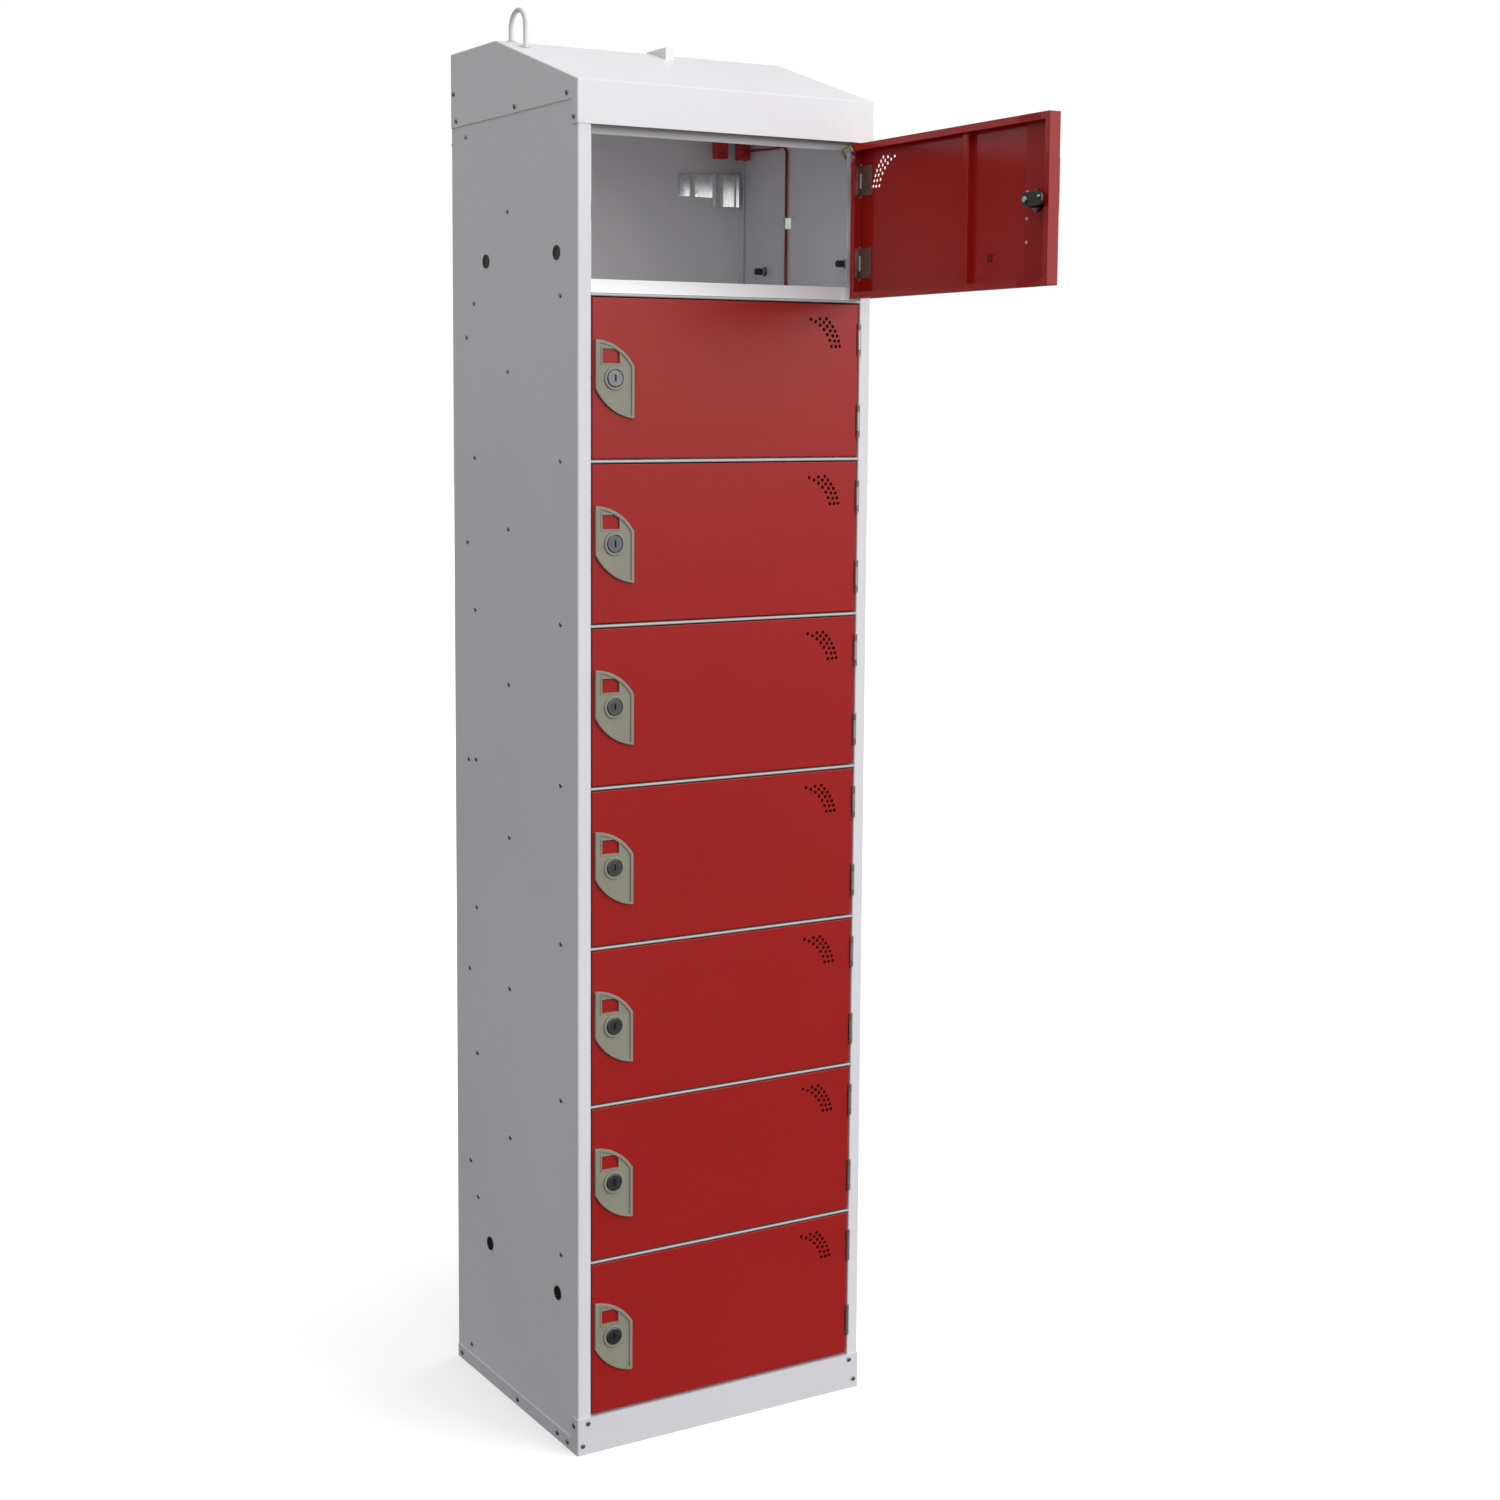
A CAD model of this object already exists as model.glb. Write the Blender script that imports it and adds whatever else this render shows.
import math

import bmesh
import bpy
from mathutils import Matrix, Vector


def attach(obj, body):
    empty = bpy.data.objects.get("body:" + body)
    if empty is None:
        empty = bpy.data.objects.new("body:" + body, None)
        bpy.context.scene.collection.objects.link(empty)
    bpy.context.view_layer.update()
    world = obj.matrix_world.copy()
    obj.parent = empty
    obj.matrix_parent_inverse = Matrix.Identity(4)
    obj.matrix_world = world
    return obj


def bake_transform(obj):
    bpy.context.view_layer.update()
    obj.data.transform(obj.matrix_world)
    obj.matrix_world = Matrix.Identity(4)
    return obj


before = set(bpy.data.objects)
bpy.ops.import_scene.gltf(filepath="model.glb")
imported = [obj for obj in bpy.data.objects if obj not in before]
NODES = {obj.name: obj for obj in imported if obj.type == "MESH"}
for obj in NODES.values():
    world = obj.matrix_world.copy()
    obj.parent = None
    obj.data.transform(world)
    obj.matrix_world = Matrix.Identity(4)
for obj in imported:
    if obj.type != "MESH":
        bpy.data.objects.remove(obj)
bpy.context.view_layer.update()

MM = 0.001

# ---------------------------------------------------------------------------
# Dimensions of the locker that the added pieces use, in millimetres
# ---------------------------------------------------------------------------
Z0, PITCH = 51.8, 216.0
HINGE_X, HINGE_Y = 210.8, -190.5
DOORS = range(1, 9)
CAM_BODY = "lock_cam_%d"


def zc(n):
    """Centre height of door n, counted from the top."""
    return Z0 + PITCH * (8 - n + 0.5)


# ---------------------------------------------------------------------------
# Camera
# ---------------------------------------------------------------------------
yaw, pitch, roll = 0.5129, 0.1038, 0.0021
fwd = Vector((math.sin(yaw) * math.cos(pitch), math.cos(yaw) * math.cos(pitch), -math.sin(pitch)))
rgt = Vector((math.cos(yaw), -math.sin(yaw), 0.0))
up = rgt.cross(fwd)
r2 = rgt * math.cos(roll) + up * math.sin(roll)
u2 = -rgt * math.sin(roll) + up * math.cos(roll)
cam_data = bpy.data.cameras.new("camera")
cam_data.sensor_width = 36.0
cam_data.sensor_fit = "HORIZONTAL"
cam_data.lens = 2259.28 / 1500 * 36.0
cam_data.shift_x = 0.08
cam_data.shift_y = -0.07
cam_data.clip_start = 0.05
cam_data.clip_end = 200.0
cam = bpy.data.objects.new("camera", cam_data)
cam.matrix_world = Matrix(
    (
        (r2.x, u2.x, -fwd.x, -1.61322),
        (r2.y, u2.y, -fwd.y, -2.78532),
        (r2.z, u2.z, -fwd.z, 1.41520),
        (0, 0, 0, 1),
    )
)
bpy.context.scene.collection.objects.link(cam)
bpy.context.scene.camera = cam
bpy.context.scene.view_settings.view_transform = "Standard"


# ---------------------------------------------------------------------------
# Node helpers
# ---------------------------------------------------------------------------
class Tree:
    """Short calls for building a shader tree."""

    def __init__(self, tree):
        self.t = tree

    def add(self, kind, **props):
        n = self.t.nodes.new(kind)
        for k, v in props.items():
            setattr(n, k, v)
        return n

    def link(self, a, b):
        self.t.links.new(a, b)

    def put(self, socket, value):
        if isinstance(value, bpy.types.NodeSocket):
            self.link(value, socket)
        else:
            socket.default_value = value

    def math(self, op, a, b=0.0, c=0.0, clamp=False):
        n = self.add("ShaderNodeMath", operation=op, use_clamp=clamp)
        self.put(n.inputs[0], a)
        self.put(n.inputs[1], b)
        if len(n.inputs) > 2:
            self.put(n.inputs[2], c)
        return n.outputs[0]

    def vmath(self, op, a, b=(0, 0, 0)):
        n = self.add("ShaderNodeVectorMath", operation=op)
        self.put(n.inputs[0], a)
        self.put(n.inputs[1], b)
        return n.outputs["Value"] if op in ("DOT_PRODUCT", "LENGTH", "DISTANCE") else n.outputs[0]

    def noise(self, vec, scale, detail=2.0, rough=0.5):
        n = self.add("ShaderNodeTexNoise")
        self.put(n.inputs["Vector"], vec)
        n.inputs["Scale"].default_value = scale
        n.inputs["Detail"].default_value = detail
        n.inputs["Roughness"].default_value = rough
        return n.outputs["Fac"]

    def ranged(self, value, lo, hi, to_lo, to_hi, smooth=False):
        n = self.add("ShaderNodeMapRange")
        n.interpolation_type = "SMOOTHSTEP" if smooth else "LINEAR"
        n.clamp = True
        self.put(n.inputs["Value"], value)
        for name, v in (("From Min", lo), ("From Max", hi), ("To Min", to_lo), ("To Max", to_hi)):
            n.inputs[name].default_value = v
        return n.outputs["Result"]

    def mix(self, fac, a, b):
        n = self.add("ShaderNodeMix", data_type="RGBA")
        self.put(n.inputs[0], fac)
        self.put(n.inputs[6], a)
        self.put(n.inputs[7], b)
        return n.outputs[2]

    def mixf(self, fac, a, b):
        n = self.add("ShaderNodeMix", data_type="FLOAT")
        self.put(n.inputs[0], fac)
        self.put(n.inputs[2], a)
        self.put(n.inputs[3], b)
        return n.outputs[0]

    def band(self, x, lo, hi):
        """1 where lo < x < hi."""
        return self.math("MULTIPLY", self.math("GREATER_THAN", x, lo), self.math("LESS_THAN", x, hi))


def rgba(c):
    return (c[0], c[1], c[2], 1.0)


def shade(c, k):
    return rgba([min(1.0, x * k) for x in c])


def new_material(name):
    m = bpy.data.materials.new(name)
    m.use_nodes = True
    m.node_tree.nodes.clear()
    t = Tree(m.node_tree)
    out = t.add("ShaderNodeOutputMaterial")
    bsdf = t.add("ShaderNodeBsdfPrincipled")
    t.link(bsdf.outputs[0], out.inputs[0])
    coord = t.add("ShaderNodeTexCoord").outputs["Object"]
    return m, t, bsdf, coord


def bump(t, bsdf, height, distance, strength=1.0, normal=None):
    n = t.add("ShaderNodeBump")
    n.inputs["Strength"].default_value = strength
    n.inputs["Distance"].default_value = distance
    t.put(n.inputs["Height"], height)
    if normal is not None:
        t.link(normal, n.inputs["Normal"])
    t.link(n.outputs[0], bsdf.inputs["Normal"])
    return n.outputs[0]


# ---------------------------------------------------------------------------
# Materials
# ---------------------------------------------------------------------------
def powder(t, coord, color, rough):
    """Powder coat: a faint cloudiness in colour and gloss, and the fine orange peel of baked paint."""
    cloud = t.noise(coord, 3.1, 3.0, 0.55)
    fine = t.noise(coord, 160.0, 2.0, 0.6)
    base = t.mix(t.ranged(cloud, 0.3, 0.7, 0.0, 1.0), shade(color, 0.965), shade(color, 1.025))
    base = t.mix(t.ranged(fine, 0.35, 0.65, 0.0, 0.5), base, shade(color, 0.97))
    r = t.math("ADD", t.ranged(cloud, 0.25, 0.75, rough - 0.03, rough + 0.03), t.ranged(fine, 0.3, 0.7, -0.025, 0.025))
    peel = t.noise(coord, 620.0, 1.5, 0.5)
    wave = t.noise(coord, 95.0, 1.0, 0.5)
    height = t.math("ADD", t.math("MULTIPLY", peel, 0.55), t.math("MULTIPLY", wave, 0.5))
    return base, r, height


def paint(name, color, rough=0.38, peel=0.00006, inside=None, tones=(0.93, 0.99), gloss=0.0):
    m, t, b, coord = new_material(name)
    base, r, height = powder(t, coord, color, rough)
    if inside is not None:
        # part of the sheet with a thinner or thicker coat
        base = t.mix(inside(t, coord), base, t.mix(t.noise(coord, 7.0, 2.0), shade(color, tones[0]), shade(color, tones[1])))
        if gloss:
            r = t.mixf(inside(t, coord), r, t.math("SUBTRACT", r, gloss))
    t.link(base, b.inputs["Base Color"])
    t.link(r, b.inputs["Roughness"])
    b.inputs["IOR"].default_value = 1.5
    bump(t, b, height, peel)
    return m


def metal(name, color, rough, grain=(1, 1, 1), depth=0.00002, dirt=0.0, dark=None):
    """Bare or plated metal with a drawn grain."""
    m, t, b, coord = new_material(name)
    mp = t.add("ShaderNodeMapping")
    t.link(coord, mp.inputs["Vector"])
    mp.inputs["Scale"].default_value = grain
    g = t.noise(mp.outputs[0], 420.0, 3.0, 0.6)
    spots = t.noise(coord, 55.0, 3.0, 0.6)
    c2 = dark if dark is not None else [x * 0.72 for x in color]
    base = t.mix(t.ranged(spots, 0.42, 0.72, 0.0, 1.0), rgba(color), rgba([a * 0.5 + b_ * 0.5 for a, b_ in zip(color, c2)]))
    if dirt:
        base = t.mix(t.ranged(t.noise(coord, 140.0, 4.0, 0.7), 0.55, 0.75, 0.0, dirt), base, rgba(c2))
    t.link(base, b.inputs["Base Color"])
    b.inputs["Metallic"].default_value = 1.0
    t.link(t.ranged(g, 0.25, 0.75, max(0.05, rough - 0.07), rough + 0.09), b.inputs["Roughness"])
    bump(t, b, g, depth, 0.6)
    return m


def plastic(name, color, rough=0.42, grain=900.0, depth=0.00003, spec=0.5, tint=None):
    m, t, b, coord = new_material(name)
    a = t.noise(coord, grain, 2.0, 0.6)
    c = t.noise(coord, 26.0, 3.0, 0.5)
    other = tint if tint is not None else [x * 0.9 for x in color]
    t.link(t.mix(t.ranged(c, 0.35, 0.65, 0.0, 1.0), rgba(color), rgba(other)), b.inputs["Base Color"])
    t.link(t.ranged(a, 0.3, 0.7, rough - 0.05, rough + 0.07), b.inputs["Roughness"])
    b.inputs["Specular IOR Level"].default_value = spec
    bump(t, b, a, depth, 0.7)
    return m


WHITE = (0.800, 0.800, 0.835)
LINER = (0.900, 0.900, 0.913)
HOOD = (0.830, 0.830, 0.850)
PLINTH = (0.750, 0.745, 0.785)
RED = (0.385, 0.0112, 0.0092)


def inside_mask(t, coord):
    """Upright inner walls between the compartments: behind the stiles and clear of the outer skin."""
    s = t.add("ShaderNodeSeparateXYZ")
    t.link(coord, s.inputs[0])
    ax = t.math("ABSOLUTE", s.outputs[0])
    deep = t.math("GREATER_THAN", s.outputs[1], -0.1695)
    return t.math("MULTIPLY", t.math("LESS_THAN", ax, 0.22925), deep)


def liner_material():
    """Compartment lining: a thicker coat on the sill lips, a handled one on the noses between the doors."""
    m, t, b, coord = new_material("liner_powder_coat")
    base, r, height = powder(t, coord, LINER, 0.235)
    r = t.math("MINIMUM", r, 0.262)
    s = t.add("ShaderNodeSeparateXYZ")
    t.link(coord, s.inputs[0])
    y, z = s.outputs[1], s.outputs[2]
    low = t.math("LESS_THAN", z, 1.760)
    sill = t.math("MULTIPLY", t.band(y, -0.1735, -0.1675), low)
    base = t.mix(sill, base, t.mix(t.noise(coord, 7.0, 2.0), shade(LINER, 1.07), shade(LINER, 1.10)))
    nose = t.math("MULTIPLY", t.math("LESS_THAN", y, -0.1865), low)
    off = t.math("ABSOLUTE", t.math("SUBTRACT", t.math("MODULO", t.math("ADD", z, 0.056), 0.216), 0.108))
    rub = t.ranged(t.math("ADD", off, t.math("MULTIPLY", t.noise(coord, 60.0, 2.0), 0.0003)), 0.0010, 0.0017, 0.0, 1.0)
    grime = t.mix(rub, shade(LINER, 0.69), shade(LINER, 0.20))
    base = t.mix(nose, base, grime)
    t.link(base, b.inputs["Base Color"])
    t.link(t.mixf(nose, r, 0.42), b.inputs["Roughness"])
    b.inputs["IOR"].default_value = 1.5
    bump(t, b, height, 0.00005)
    return m


def lintel_mask(t, coord):
    """Folded lintel under the fascia."""
    s = t.add("ShaderNodeSeparateXYZ")
    t.link(coord, s.inputs[0])
    return t.math("LESS_THAN", s.outputs[1], -0.1600)


mat_side = paint("carcass_powder_coat", WHITE, 0.36, 0.00007, inside=inside_mask, tones=(1.09, 1.13), gloss=0.20)
mat_back = paint("back_powder_coat", WHITE, 0.40, 0.00007)
mat_liner = liner_material()
mat_deck = paint("deck_powder_coat", LINER, 0.34, 0.00005, inside=lintel_mask, tones=(0.60, 0.66))
mat_hood = paint("hood_powder_coat", HOOD, 0.36, 0.00006)
mat_plinth = paint("plinth_powder_coat", PLINTH, 0.36, 0.00006)
mat_rivet = metal("steel_rivet", (0.46, 0.46, 0.47), 0.34, depth=0.00003, dirt=0.4)
mat_screw = metal("zinc_screw", (0.36, 0.36, 0.38), 0.36, depth=0.00003, dirt=0.5, dark=(0.12, 0.12, 0.12))
mat_hinge = metal("hinge_steel", (0.60, 0.60, 0.61), 0.42, grain=(1, 1, 0.15), dirt=0.25)
mat_chrome = metal("bright_chrome", (0.97, 0.975, 0.98), 0.15, grain=(1, 1, 0.1), depth=0.00001)
mat_lock = metal("lock_chrome", (0.200, 0.205, 0.215), 0.34, depth=0.00001, dirt=0.10, dark=(0.16, 0.16, 0.17))
mat_brass = metal("earth_brass", (0.70, 0.52, 0.24), 0.30, dirt=0.3)
mat_bezel = plastic("bezel_plastic", (0.300, 0.295, 0.225), 0.40, 1100.0, 0.00004, 0.5, (0.272, 0.270, 0.205))
mat_rubber = plastic("black_rubber", (0.012, 0.012, 0.013), 0.30, 700.0, 0.00003, 0.5, (0.02, 0.02, 0.02))
mat_flex = plastic("white_flex", (0.80, 0.80, 0.80), 0.34, 1300.0, 0.00002, 0.5, (0.74, 0.74, 0.75))
mat_grommet = plastic("grommet_plastic", (0.68, 0.68, 0.68), 0.40, 1000.0, 0.00003, 0.5)
mat_grey = plastic("grey_plastic", (0.20, 0.21, 0.22), 0.45, 900.0, 0.00005, 0.4)
mat_term = plastic("terminal_red", (0.62, 0.035, 0.015), 0.35, 1000.0, 0.00003, 0.5, (0.55, 0.03, 0.012))
mat_red_wire = plastic("red_insulation", (0.36, 0.010, 0.014), 0.32, 1300.0, 0.00002, 0.5)
mat_yellow = plastic("earth_yellow", (0.75, 0.56, 0.01), 0.34, 1300.0, 0.00002, 0.5, (0.68, 0.50, 0.01))
mat_green = plastic("earth_green", (0.07, 0.30, 0.04), 0.34, 1300.0, 0.00002, 0.5, (0.055, 0.25, 0.035))
mat_sleeve = plastic("crimp_sleeve_blue", (0.035, 0.05, 0.42), 0.36, 1200.0, 0.00002, 0.5, (0.03, 0.04, 0.34))
mat_stud = metal("cam_stud_steel", (0.72, 0.73, 0.73), 0.22, depth=0.00001)
mat_angle = metal("hinge_angle_steel", (0.40, 0.29, 0.26), 0.45, grain=(1, 1, 0.2), depth=0.00003, dirt=0.4, dark=(0.24, 0.16, 0.14))
mat_pin = plastic("hinge_bead_bright", (0.90, 0.90, 0.90), 0.34, 1000.0, 0.00002, 0.5, (0.86, 0.86, 0.87))
mat_pad = plastic("door_pad", (0.230, 0.010, 0.009), 0.36, 800.0, 0.00003, 0.3, (0.200, 0.008, 0.007))


def plug_material():
    """Black moulded plug; the stem's shoulder next to the wall is a grey sealing collar."""
    m, t, b, coord = new_material("nesting_plug")
    s = t.add("ShaderNodeSeparateXYZ")
    t.link(coord, s.inputs[0])
    collar = t.band(t.math("ABSOLUTE", s.outputs[0]), 0.2222, 0.2288)
    a = t.noise(coord, 700.0, 2.0, 0.6)
    c = t.noise(coord, 30.0, 3.0, 0.5)
    black = t.mix(c, rgba((0.012, 0.012, 0.013)), rgba((0.022, 0.022, 0.022)))
    grey = t.mix(c, rgba((0.20, 0.20, 0.205)), rgba((0.26, 0.26, 0.265)))
    t.link(t.mix(collar, black, grey), b.inputs["Base Color"])
    t.link(t.ranged(a, 0.3, 0.7, 0.26, 0.40), b.inputs["Roughness"])
    bump(t, b, a, 0.00003, 0.7)
    return m


mat_plug = plug_material()


def door_local(t, coord, n):
    """Coordinates from the hinge axis and the door's centre, as if the door were closed."""
    sub = t.vmath("SUBTRACT", coord, (HINGE_X * MM, HINGE_Y * MM, zc(n) * MM))
    s = t.add("ShaderNodeSeparateXYZ")
    t.link(sub, s.inputs[0])
    x, y, z = s.outputs
    if n == 1:
        return y, t.math("MULTIPLY", x, -1.0), z
    return x, y, z


def door_material(n):
    """Red powder coat, with the bare hinge leaves and rivets that are fixed to the pan."""
    m, t, b, coord = new_material("door_%d_powder_coat" % n)
    base, r, height = powder(t, coord, RED, 0.315)
    r = t.math("MAXIMUM", r, 0.288)
    u, w, v = door_local(t, coord, n)
    av = t.math("ABSOLUTE", v)
    near_hinge = t.math("LESS_THAN", t.math("ABSOLUTE", t.math("SUBTRACT", av, 0.056)), 0.0213)
    plate = t.math("MULTIPLY", t.band(w, 0.00175, 0.0029), t.math("GREATER_THAN", u, -0.0295))
    knuckle = t.math("MULTIPLY", t.math("GREATER_THAN", u, -0.0027), t.math("LESS_THAN", w, 0.0029))
    steel = t.math("MULTIPLY", near_hinge, t.math("MAXIMUM", plate, knuckle))
    rivets = 0.0
    for dz in (11.5, -21.0, -50.0):
        du = t.math("SUBTRACT", u, (-155.5 - HINGE_X) * MM)
        dv = t.math("SUBTRACT", v, dz * MM)
        rr = t.math("SQRT", t.math("ADD", t.math("MULTIPLY", du, du), t.math("MULTIPLY", dv, dv)))
        rivet = t.math("MULTIPLY", t.math("LESS_THAN", rr, 0.0023), t.math("GREATER_THAN", w, 0.00672))
        rivets = t.math("MAXIMUM", rivets, rivet)
    # the inside of the pan carries a slightly lighter, glossier coat, and the free edge a thinner one
    inner = t.math("GREATER_THAN", w, 0.0014)
    base = t.mix(inner, base, t.mix(t.noise(coord, 5.0, 2.0), rgba((0.47, 0.0150, 0.0125)), rgba((0.51, 0.0165, 0.0135))))
    strip = t.math("MULTIPLY", t.band(u, -0.4025, -0.3617), t.math("GREATER_THAN", w, 0.0064))
    base = t.mix(strip, base, t.mix(t.noise(coord, 6.0, 2.0), rgba((0.42, 0.0110, 0.0090)), rgba((0.45, 0.0125, 0.0100))))
    edge = t.math("LESS_THAN", u, -0.41928)
    base = t.mix(edge, base, t.mix(t.noise(coord, 9.0, 2.0), rgba((0.350, 0.0290, 0.0280)), rgba((0.385, 0.0310, 0.0300))))
    worn = t.mix(t.ranged(t.noise(coord, 90.0, 3.0, 0.6), 0.35, 0.65, 0.0, 1.0), rgba((0.33, 0.205, 0.170)), rgba((0.27, 0.170, 0.140)))
    base = t.mix(steel, base, worn)
    t.link(t.mix(rivets, base, rgba((0.80, 0.70, 0.68))), b.inputs["Base Color"])
    t.link(t.math("MAXIMUM", t.math("MULTIPLY", steel, 0.45), t.math("MULTIPLY", rivets, 0.35)), b.inputs["Metallic"])
    r = t.mixf(inner, r, t.math("SUBTRACT", r, 0.17))
    r = t.mixf(strip, r, 0.46)
    r = t.mixf(edge, r, 0.52)
    t.link(t.mixf(steel, r, 0.42), b.inputs["Roughness"])
    b.inputs["IOR"].default_value = 1.5
    b.inputs["Specular IOR Level"].default_value = 0.32
    bump(t, b, height, 0.00004)
    return m


def cam_material(n):
    """Chromed plug face, dark passivated cam plate, bright screw."""
    m, t, b, coord = new_material("lock_cam_%d_finish" % n)
    u, w, v = door_local(t, coord, n)
    face = t.math("LESS_THAN", w, 0.0040)
    screw = t.math("GREATER_THAN", w, 0.02755)
    spots = t.noise(coord, 120.0, 3.0, 0.6)
    plate = t.mix(spots, rgba((0.042, 0.055, 0.048)), rgba((0.075, 0.088, 0.080)))
    col = t.mix(face, plate, rgba((0.185, 0.190, 0.200)))
    col = t.mix(screw, col, rgba((0.70, 0.71, 0.71)))
    t.link(col, b.inputs["Base Color"])
    bright = t.math("MAXIMUM", face, screw)
    t.link(t.mixf(bright, 0.55, 1.0), b.inputs["Metallic"])
    t.link(t.mixf(bright, t.ranged(spots, 0.3, 0.7, 0.38, 0.5), 0.33), b.inputs["Roughness"])
    bump(t, b, t.noise(coord, 900.0, 2.0), 0.00003, 0.6)
    return m


def assign(name, mat):
    o = NODES[name]
    if not o.material_slots:
        o.data.materials.append(mat)
    for s in o.material_slots:
        s.material = mat


for name, mat in {
    "left_side_panel": mat_side,
    "right_side_panel": mat_side,
    "back_panel": mat_back,
    "false_back": mat_liner,
    "shelves": mat_liner,
    "base_floor": mat_liner,
    "top_deck": mat_deck,
    "base_plate": mat_plinth,
    "plinth": mat_plinth,
    "hood_shell": mat_hood,
    "cable_loop": mat_flex,
    "loop_grommets": mat_grommet,
    "ridge_bracket": mat_hood,
    "power_distribution_box": mat_grey,
    "rear_cable_bung": mat_rubber,
    "case_rivets": mat_rivet,
    "casing_screws": mat_screw,
    "nesting_hole_plugs": mat_plug,
    "hinge_frame_leaves": mat_hinge,
    "hinge_pins": mat_hinge,
    "outlet_brackets": mat_chrome,
    "charging_outlets": mat_chrome,
    "outlet_screws": mat_chrome,
    "riser_clips": mat_chrome,
    "earth_studs": mat_brass,
    "terminal_blocks": mat_term,
    "power_riser": mat_red_wire,
}.items():
    assign(name, mat)
for n in DOORS:
    assign("door_%d" % n, door_material(n))
    assign("door_%d_lock_bezel" % n, mat_bezel)
    assign("door_%d_lock_barrel" % n, mat_lock)
    assign("door_%d_lock_cam" % n, cam_material(n))


# ---------------------------------------------------------------------------
# Mesh helpers
# ---------------------------------------------------------------------------
def finish_mesh(bm, name, mats, sharp_deg=38.0):
    bmesh.ops.recalc_face_normals(bm, faces=bm.faces)
    for f in bm.faces:
        f.smooth = True
    for e in bm.edges:
        e.smooth = not (len(e.link_faces) == 2 and e.calc_face_angle(0.0) > math.radians(sharp_deg))
    me = bpy.data.meshes.new(name)
    bm.to_mesh(me)
    bm.free()
    for m in mats:
        me.materials.append(m)
    o = bpy.data.objects.new(name, me)
    bpy.context.scene.collection.objects.link(o)
    return o


def smooth_path(points, steps=10):
    """Centripetal curve through the given points, in metres."""
    p = [Vector(q) * MM for q in points]
    p = [p[0] * 2 - p[1]] + p + [p[-1] * 2 - p[-2]]
    out = []
    for i in range(1, len(p) - 2):
        a, b, c, d = p[i - 1 : i + 3]
        for s in range(steps):
            x = s / steps
            out.append(
                0.5 * ((2 * b) + (c - a) * x + (2 * a - 5 * b + 4 * c - d) * x * x + (3 * b - a - 3 * c + d) * x ** 3)
            )
    out.append(p[-2])
    return out


def sweep(bm, path, radius, sides=12, mat_of=None, cap=True):
    """Tube along a path with a steady frame."""
    t = [(path[min(i + 1, len(path) - 1)] - path[max(i - 1, 0)]).normalized() for i in range(len(path))]
    n = t[0].orthogonal().normalized()
    rings = []
    for i, p in enumerate(path):
        n = (n - t[i] * n.dot(t[i])).normalized()
        b = t[i].cross(n)
        r = radius(i / (len(path) - 1)) if callable(radius) else radius
        rings.append(
            [bm.verts.new(p + (n * math.cos(a) + b * math.sin(a)) * r) for a in (2 * math.pi * k / sides for k in range(sides))]
        )
    for i in range(len(rings) - 1):
        for k in range(sides):
            f = bm.faces.new((rings[i][k], rings[i][(k + 1) % sides], rings[i + 1][(k + 1) % sides], rings[i + 1][k]))
            if mat_of:
                f.material_index = mat_of(i, k)
    if cap:
        bm.faces.new(rings[0])
        bm.faces.new(rings[-1])


def lathe(bm, profile, origin, axis, sides=24, mat_index=0):
    """Closed body of revolution from (radius, height) pairs, in millimetres."""
    z = Vector(axis).normalized()
    x = z.orthogonal().normalized()
    y = z.cross(x)
    o = Vector(origin) * MM
    rings = []
    for r, h in profile:
        if r < 1e-6:
            rings.append([bm.verts.new(o + z * h * MM)])
        else:
            rings.append(
                [bm.verts.new(o + z * h * MM + (x * math.cos(a) + y * math.sin(a)) * r * MM) for a in (2 * math.pi * k / sides for k in range(sides))]
            )
    for i in range(len(rings) - 1):
        a, b = rings[i], rings[i + 1]
        for k in range(sides):
            k2 = (k + 1) % sides
            if len(a) == 1 and len(b) == 1:
                continue
            if len(a) == 1:
                f = bm.faces.new((a[0], b[k], b[k2]))
            elif len(b) == 1:
                f = bm.faces.new((a[k], b[0], a[k2]))
            else:
                f = bm.faces.new((a[k], b[k], b[k2], a[k2]))
            f.material_index = mat_index


def placed(p, n):
    """A point given on the closed door n, in its rest place: the top door rests open at 90 degrees."""
    if n != 1:
        return tuple(p)
    dx, dy = p[0] - HINGE_X, p[1] - HINGE_Y
    return (HINGE_X - dy, HINGE_Y + dx, p[2])


def slab(bm, o, ex, ey, sx, sy, h, corner, chamfer, mat_index=0):
    """Flat pad with rounded corners and a chamfered upper edge; o is the middle of its foot, in millimetres."""
    o, ex, ey = Vector(o), Vector(ex), Vector(ey)
    n = ex.cross(ey)
    rings = []
    for inset, z in ((0.0, 0.0), (0.0, h - chamfer), (chamfer * 0.35, h - chamfer * 0.3), (chamfer, h)):
        ring = []
        for q in range(4):
            cx = (sx / 2 - corner) * (1 if q in (0, 3) else -1)
            cy = (sy / 2 - corner) * (1 if q in (0, 1) else -1)
            for i in range(6):
                a = math.pi / 2 * (q + i / 5)
                r = corner - inset
                ring.append(bm.verts.new((o + ex * (cx + r * math.cos(a)) + ey * (cy + r * math.sin(a)) + n * z) * MM))
        rings.append(ring)
    k = len(rings[0])
    for a, b in zip(rings, rings[1:]):
        for i in range(k):
            f = bm.faces.new((a[i], a[(i + 1) % k], b[(i + 1) % k], b[i]))
            f.material_index = mat_index
    for ring in (rings[0], rings[-1]):
        bm.faces.new(ring).material_index = mat_index


# ---------------------------------------------------------------------------
# Earth bonding lead of each door, from the stud on the side wall to a stud on the door
# ---------------------------------------------------------------------------
def stripe(i, k):
    return 1 if ((k + i // 5) % 12) in (0, 1, 2, 6, 7) else 0


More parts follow.
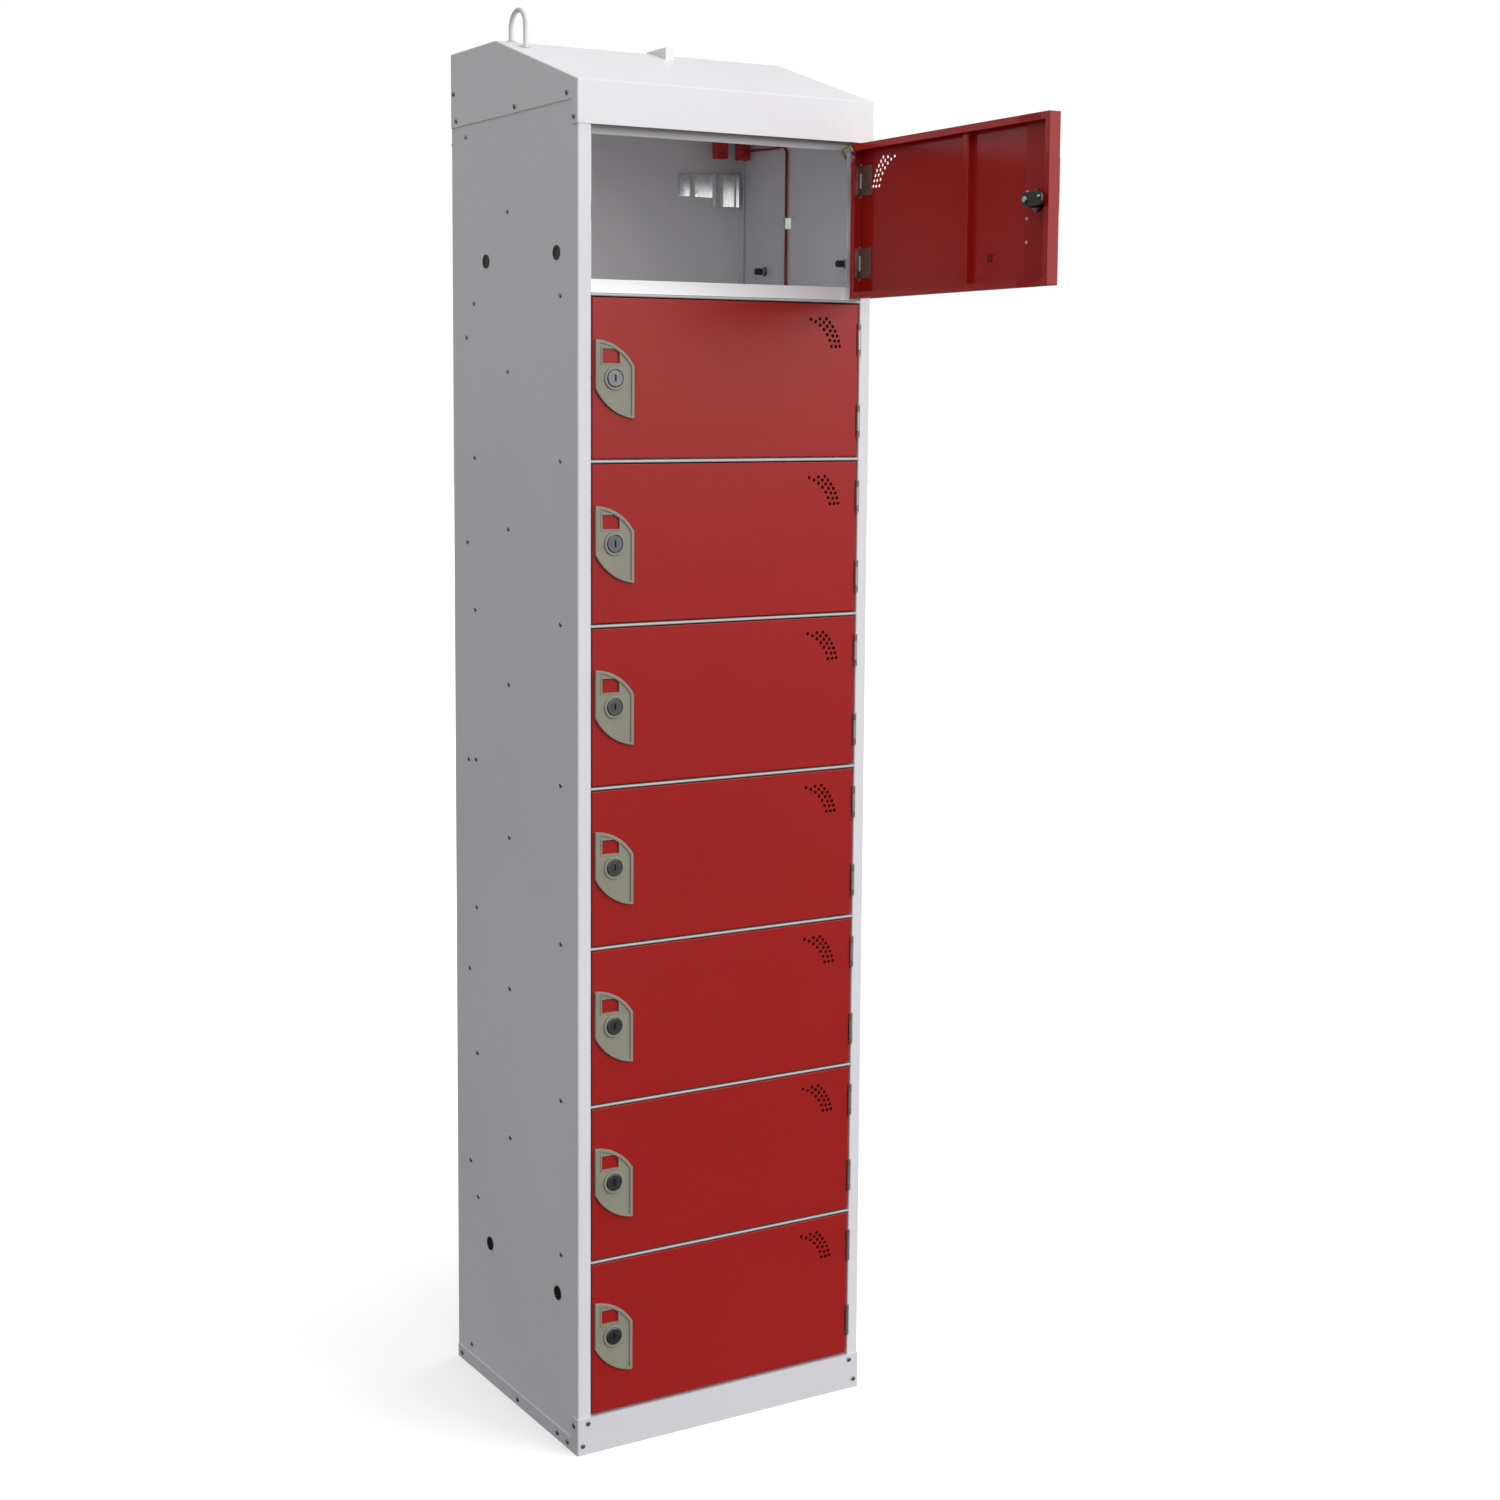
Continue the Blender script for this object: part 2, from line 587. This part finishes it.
def ring_terminal(bm, centre, normal, towards, sleeve_to):
    """Flat ring under a low nut, a crimped barrel and its sleeve."""
    c, n = Vector(centre), Vector(normal).normalized()
    d = (Vector(towards) - n * Vector(towards).dot(n)).normalized()
    lathe(bm, [(1.7, 0.0), (3.6, 0.0), (3.75, 0.15), (3.75, 0.55), (3.6, 0.7), (1.7, 0.7), (1.7, 0.0)], c, n, 24, 0)
    # nut and stud end
    lathe(bm, [(0.0, 0.7), (3.0, 0.7), (3.1, 0.85), (3.1, 1.9), (2.8, 2.15), (1.7, 2.15), (1.7, 2.4), (1.4, 2.6), (0.0, 2.6)], c, n, 6, 0)
    a = (c + n * 0.4 + d * 3.0) * MM
    b = (c + n * 1.0 + d * 5.5) * MM
    sweep(bm, [a, (a + b) / 2, b], lambda s: (0.7 + 0.7 * s) * MM, 12, lambda i, k: 0)
    e = Vector(sleeve_to) * MM
    path = [b + (e - b) * s for s in (-0.05, 0.0, 0.1, 0.5, 0.9, 1.0, 1.05)]
    rad = [1.4, 1.85, 2.0, 2.05, 2.0, 1.85, 1.6]
    sweep(bm, path, lambda s: rad[round(s * 6)] * MM, 16, lambda i, k: 1)


for n in DOORS:
    z = zc(n) + 85.2
    if n == 1:
        # the open door draws the lead out in a bow round the stop lip
        pts = [
            (218.5, -152.2, z - 0.4), (212.0, -154.0, z + 5.5), (204.5, -157.5, z + 11.5), (197.5, -164.0, z + 14.0),
            (192.5, -174.0, z + 14.5), (190.2, -185.0, z + 15.5), (190.2, -193.5, z + 15.5), (191.4, -196.9, z + 12.5),
            (192.0, -197.0, z + 9.0),
        ]
        start, end, tip = (213.0, -154.0, z), (190.5, -194.0, z), (192.0, -197.0, z + 9.8)
        ring_at, ring_n, ring_to = (193.3, -197.0, z), (-1, 0, 0), (0, 0, 1)
    else:
        pts = [
            (218.5, -152.2, z - 0.4), (212.0, -154.0, z + 6), (204.5, -157.0, z + 12), (197.0, -161.0, z + 12.5),
            (191.5, -165.5, z + 8), (189.3, -169.5, z + 2.5), (191.5, -171.6, z + 0.2), (196.0, -171.5, z),
        ]
        start, end, tip = (212.0, -155.0, z), (192.0, -171.0, z), (194.8, -171.6, z)
        ring_at, ring_n, ring_to = (204.3, -173.0, z), (0, 1, 0), (-1, 0, 0)
    bm = bmesh.new()
    sweep(bm, smooth_path(pts), 1.45 * MM, 12, stripe)
    lead = finish_mesh(bm, "earth_lead_%d" % n, [mat_yellow, mat_green])
    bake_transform(lead)
    bm = bmesh.new()
    ring_terminal(bm, ring_at, ring_n, ring_to, tip)
    term = finish_mesh(bm, "earth_terminal_door_%d" % n, [mat_rivet, mat_sleeve])
    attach(term, "door_%d" % n)
    bm = bmesh.new()
    ring_terminal(bm, (225.4, -150.0, z - 1.2), (-1, 0, 0), (0, -1, 0), (218.5, -152.2, z - 0.4))
    term = finish_mesh(bm, "earth_terminal_wall_%d" % n, [mat_rivet, mat_sleeve])
    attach(term, "root")
    # domed stud near the tip of the cam plate
    bm = bmesh.new()
    back = (0, 1, 0) if n != 1 else (-1, 0, 0)
    lathe(bm, [(0.0, -0.3), (2.3, -0.3), (2.45, 0.0), (2.35, 0.7), (1.9, 1.25), (1.1, 1.6), (0.0, 1.7)], placed((-202.0, -163.0, zc(n) + 2.0), n), back, 28, 0)
    stud = finish_mesh(bm, "cam_stud_%d" % n, [mat_stud])
    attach(stud, CAM_BODY % n)
    # small buffer pad on the inside of the skin
    bm = bmesh.new()
    foot = placed((-77.2, -188.8, zc(n) - 63.3), n)
    across = (-1, 0, 0) if n != 1 else (0, -1, 0)
    slab(bm, foot, across, (0, 0, 1), 9.0, 11.0, 1.2, 1.4, 0.4)
    pad = finish_mesh(bm, "door_pad_%d" % n, [mat_pad])
    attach(pad, "door_%d" % n)
    # the leaf's folded flap on the pan's flange, and the bright bead in the fold
    inward = (0, 1, 0) if n != 1 else (-1, 0, 0)
    for side, dz in (("low", -56.0), ("high", 56.0)):
        bm = bmesh.new()
        slab(bm, placed((208.2, -184.2, zc(n) + dz), n), (0, 0, 1), inward, 41.0, 8.6, 0.9, 1.2, 0.3)
        flap = finish_mesh(bm, "hinge_flap_%d_%s" % (n, side), [mat_angle])
        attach(flap, "door_%d" % n)
        bm = bmesh.new()
        lathe(bm, [(0.0, -10.5), (0.7, -10.4), (1.05, -9.8), (1.1, -9.0), (1.1, 9.0), (1.05, 9.8), (0.7, 10.4), (0.0, 10.5)],
              placed((206.3, -187.2, zc(n) + dz), n), (0, 0, 1), 20, 0)
        bead = finish_mesh(bm, "hinge_bead_%d_%s" % (n, side), [mat_pin])
        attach(bead, "door_%d" % n)


# ---------------------------------------------------------------------------
# Studio: plain pale floor, plain soft light
# ---------------------------------------------------------------------------
floor_me = bpy.data.meshes.new("studio_floor")
N, R = 96, 40.0
fv = [(0.0, 0.0, 0.0)] + [(R * math.cos(2 * math.pi * i / N), R * math.sin(2 * math.pi * i / N), 0.0) for i in range(N)]
floor_me.from_pydata(fv, [], [(0, i + 1, (i + 1) % N + 1) for i in range(N)])
floor = bpy.data.objects.new("studio_floor", floor_me)
bpy.context.scene.collection.objects.link(floor)
fm, ft, fb, fcoord = new_material("studio_floor")
dist = ft.vmath("LENGTH", fcoord)
fb.inputs["Base Color"].default_value = (0.9, 0.9, 0.9, 1)
fb.inputs["Roughness"].default_value = 0.9
fb.inputs["Specular IOR Level"].default_value = 0.1
fb.inputs["Emission Color"].default_value = (1, 1, 1, 1)
ft.link(ft.ranged(dist, 0.4, 3.0, 0.30, 0.75, True), fb.inputs["Emission Strength"])
floor_me.materials.append(fm)
floor.visible_glossy = False
floor.visible_diffuse = False

world = bpy.data.worlds.new("studio")
bpy.context.scene.world = world
world.use_nodes = True
world.node_tree.nodes.clear()
w = Tree(world.node_tree)
wout = w.add("ShaderNodeOutputWorld")
bg = w.add("ShaderNodeBackground")
w.link(bg.outputs[0], wout.inputs[0])
direction = w.vmath("NORMALIZE", w.add("ShaderNodeTexCoord").outputs["Generated"])
ws = w.add("ShaderNodeSeparateXYZ")
w.link(direction, ws.inputs[0])
front = w.vmath("DOT_PRODUCT", direction, tuple(Vector((0.66, -0.74, 0.16)).normalized()))
key = w.ranged(front, -0.05, 0.92, 0.0, 1.0, True)
above = w.ranged(ws.outputs[2], -0.11, 0.07, 0.0, 1.0, True)
zen = w.ranged(ws.outputs[2], 0.30, 1.0, 0.0, 0.45, True)
level = w.math("ADD", w.math("ADD", 0.42, w.math("MULTIPLY", key, 0.88)), zen)
lamp = w.add("ShaderNodeLightPath")
# the unseen ground returns soft light to matt surfaces, and is dark in glossy ones
ground = w.mixf(lamp.outputs["Is Glossy Ray"], 0.42, 0.05)
level = w.math("MULTIPLY", level, w.mixf(above, ground, 1.0))
w.link(w.mixf(lamp.outputs["Is Camera Ray"], level, 1.0), bg.inputs["Strength"])
bg.inputs["Color"].default_value = (1.0, 1.0, 1.0, 1)


def area(name, loc, target, size, power, color=(1, 1, 1), size_y=None):
    ld = bpy.data.lights.new(name, "AREA")
    ld.energy = power
    ld.color = color
    ld.size = size
    if size_y:
        ld.shape = "RECTANGLE"
        ld.size_y = size_y
    lo = bpy.data.objects.new(name, ld)
    lo.location = loc
    lo.rotation_mode = "QUATERNION"
    lo.rotation_quaternion = (Vector(target) - Vector(loc)).to_track_quat("-Z", "Y")
    lo.visible_camera = False
    bpy.context.scene.collection.objects.link(lo)
    return lo


area("key_softbox", (2.6, -4.4, 3.1), (0, -0.1, 1.0), 2.6, 62.0)
